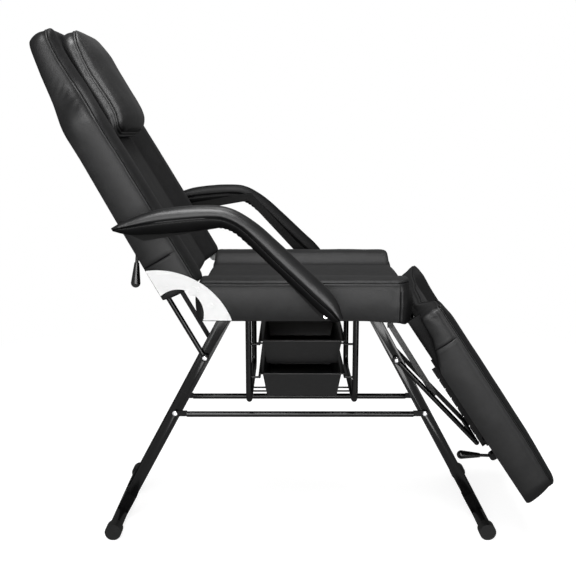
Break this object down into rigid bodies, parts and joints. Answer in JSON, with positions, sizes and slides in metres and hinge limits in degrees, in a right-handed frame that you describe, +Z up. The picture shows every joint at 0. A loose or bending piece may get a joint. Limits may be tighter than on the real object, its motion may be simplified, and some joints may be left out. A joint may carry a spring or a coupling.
{
  "type": "tattoo chair",
  "caption": "Black padded three-section reclining tattoo chair on a folding-style tube frame, with bent arm rests, a head pillow and two trays under the seat.",
  "frame": {"origin": "on the floor under the middle of the chair as it stands with its back raised and leg rest lowered", "axes": "+X towards the leg rest, +Y across the chair to the sitter's left-hand side seen from the picture's far side, +Z up"},
  "size_m": [1.3364, 0.858, 1.3573],
  "materials": {
    "black_vinyl": "satin upholstery vinyl with soft grain",
    "plywood": "raw plywood",
    "black_steel": "gloss black powder coat",
    "white_steel": "white paint",
    "zinc_steel": "zinc plated",
    "rubber_black": "matt",
    "tray_plastic": "moulded black",
    "grip_plastic": "moulded black"
  },
  "bodies": {
    "base": {"seat_cushion": "black_vinyl", "seat_board": "plywood", "seat_skirt": "black_vinyl", "seat_frame": "black_steel", "leg_rest_hinge_pins": "zinc_steel", "rear_leg_left": "black_steel", "rear_leg_right": "black_steel", "front_leg_left": "black_steel", "front_leg_right": "black_steel", "rear_floor_bar": "black_steel", "front_floor_bar": "black_steel", "floor_bar_end_caps": "rubber_black", "stretcher_left": "black_steel", "stretcher_right": "black_steel", "stretcher_bolts": "zinc_steel", "back_brace_bolts": "zinc_steel", "leg_brace_bolts": "zinc_steel", "tray_hanger_rear": "black_steel", "tray_hanger_front": "black_steel", "tray_runners": "black_steel", "tray_cross_wires": "black_steel", "seat_hinge_plate_left": "white_steel", "seat_hinge_plate_right": "white_steel", "back_hinge_pins": "white_steel", "seat_plate_screws": "white_steel", "armrest_left_front_pin": "zinc_steel", "armrest_right_front_pin": "zinc_steel", "leg_stay_hanger": "black_steel"},
    "backrest": {"back_cushion": "black_vinyl", "back_board": "plywood", "back_skirt": "black_vinyl", "back_rails": "black_steel", "back_rack": "black_steel", "back_rack_brackets": "black_steel", "back_hinge_plate_left": "white_steel", "back_hinge_plate_right": "white_steel", "back_plate_screws": "white_steel", "back_lever_bracket": "black_steel", "armrest_left_rear_pin": "zinc_steel", "armrest_right_rear_pin": "zinc_steel"},
    "head_pillow": {"head_pillow": "black_vinyl"},
    "back_brace": {"back_brace": "black_steel"},
    "back_lever": {"back_release_lever": "grip_plastic"},
    "legrest": {"leg_cushion": "black_vinyl", "leg_board": "plywood", "leg_skirt": "black_vinyl", "leg_side_infills": "black_vinyl", "leg_frame": "black_steel", "leg_rack": "black_steel", "leg_rack_brackets": "black_steel", "leg_lever_bracket": "black_steel"},
    "leg_brace": {"leg_brace": "black_steel"},
    "leg_lever": {"leg_release_lever": "grip_plastic"},
    "leg_stay": {"leg_stay": "black_steel"},
    "armrest_left": {"armrest_left_pad": "black_vinyl", "armrest_left_bar": "black_steel"},
    "armrest_right": {"armrest_right_pad": "black_vinyl", "armrest_right_bar": "black_steel"},
    "upper_tray": {"upper_tray": "tray_plastic"},
    "lower_tray": {"lower_tray": "tray_plastic"}
  },
  "joints": [
    {"name": "back_recline", "type": "hinge", "parent": "base", "child": "backrest", "pos_m": [-0.2687, 0, 0.709], "axis": [0, -1, 0], "range_deg": [0, 60]},
    {"name": "leg_rest_lift", "type": "hinge", "parent": "base", "child": "legrest", "pos_m": [0.267, 0, 0.649], "axis": [0, -1, 0], "range_deg": [0, 56.2]},
    {"name": "back_brace_swing", "type": "hinge", "parent": "base", "child": "back_brace", "pos_m": [-0.26427, 0, 0.481], "axis": [0, -1, 0], "range_deg": [0, 46.1]},
    {"name": "leg_brace_swing", "type": "hinge", "parent": "base", "child": "leg_brace", "pos_m": [0.26751, 0, 0.475], "axis": [0, -1, 0], "range_deg": [0, 70.2]},
    {"name": "leg_stay_swing", "type": "hinge", "parent": "base", "child": "leg_stay", "pos_m": [0.252, 0, 0.567], "axis": [0, -1, 0], "range_deg": [0, 62]},
    {"name": "armrest_left_swing", "type": "hinge", "parent": "base", "child": "armrest_left", "pos_m": [0.058, -0.368, 0.658], "axis": [0, -1, 0], "range_deg": [0, 22.7]},
    {"name": "armrest_right_swing", "type": "hinge", "parent": "base", "child": "armrest_right", "pos_m": [0.058, 0.368, 0.658], "axis": [0, -1, 0], "range_deg": [0, 22.7]},
    {"name": "head_pillow_slide", "type": "slide", "parent": "backrest", "child": "head_pillow", "axis": [0.5, 0, -0.866], "range_m": [0, 0.08]},
    {"name": "back_lever_pull", "type": "hinge", "parent": "backrest", "child": "back_lever", "pos_m": [-0.42618, -0.178, 0.80976], "axis": [0, -1, 0], "range_deg": [-20, 0], "stiffness_Nm_per_rad": 1.2, "springref_deg": 9.74},
    {"name": "leg_lever_pull", "type": "hinge", "parent": "legrest", "child": "leg_lever", "pos_m": [0.56024, -0.04, 0.17141], "axis": [0, -1, 0], "range_deg": [-18, 0], "stiffness_Nm_per_rad": 1.2, "springref_deg": 9.74},
    {"name": "upper_tray_slide", "type": "slide", "parent": "base", "child": "upper_tray", "axis": [0, -1, 0], "range_m": [0, 0.24]},
    {"name": "lower_tray_slide", "type": "slide", "parent": "base", "child": "lower_tray", "axis": [0, -1, 0], "range_m": [0, 0.24]}
  ],
  "couplings": [
    {"joint": "back_brace_swing", "follows": "back_recline", "ratio": 0.7682},
    {"joint": "armrest_left_swing", "follows": "back_recline", "ratio": 0.3753},
    {"joint": "armrest_right_swing", "follows": "back_recline", "ratio": 0.3753},
    {"joint": "leg_brace_swing", "follows": "leg_rest_lift", "ratio": 1.2475},
    {"joint": "leg_stay_swing", "follows": "leg_rest_lift", "ratio": 1.1}
  ]
}
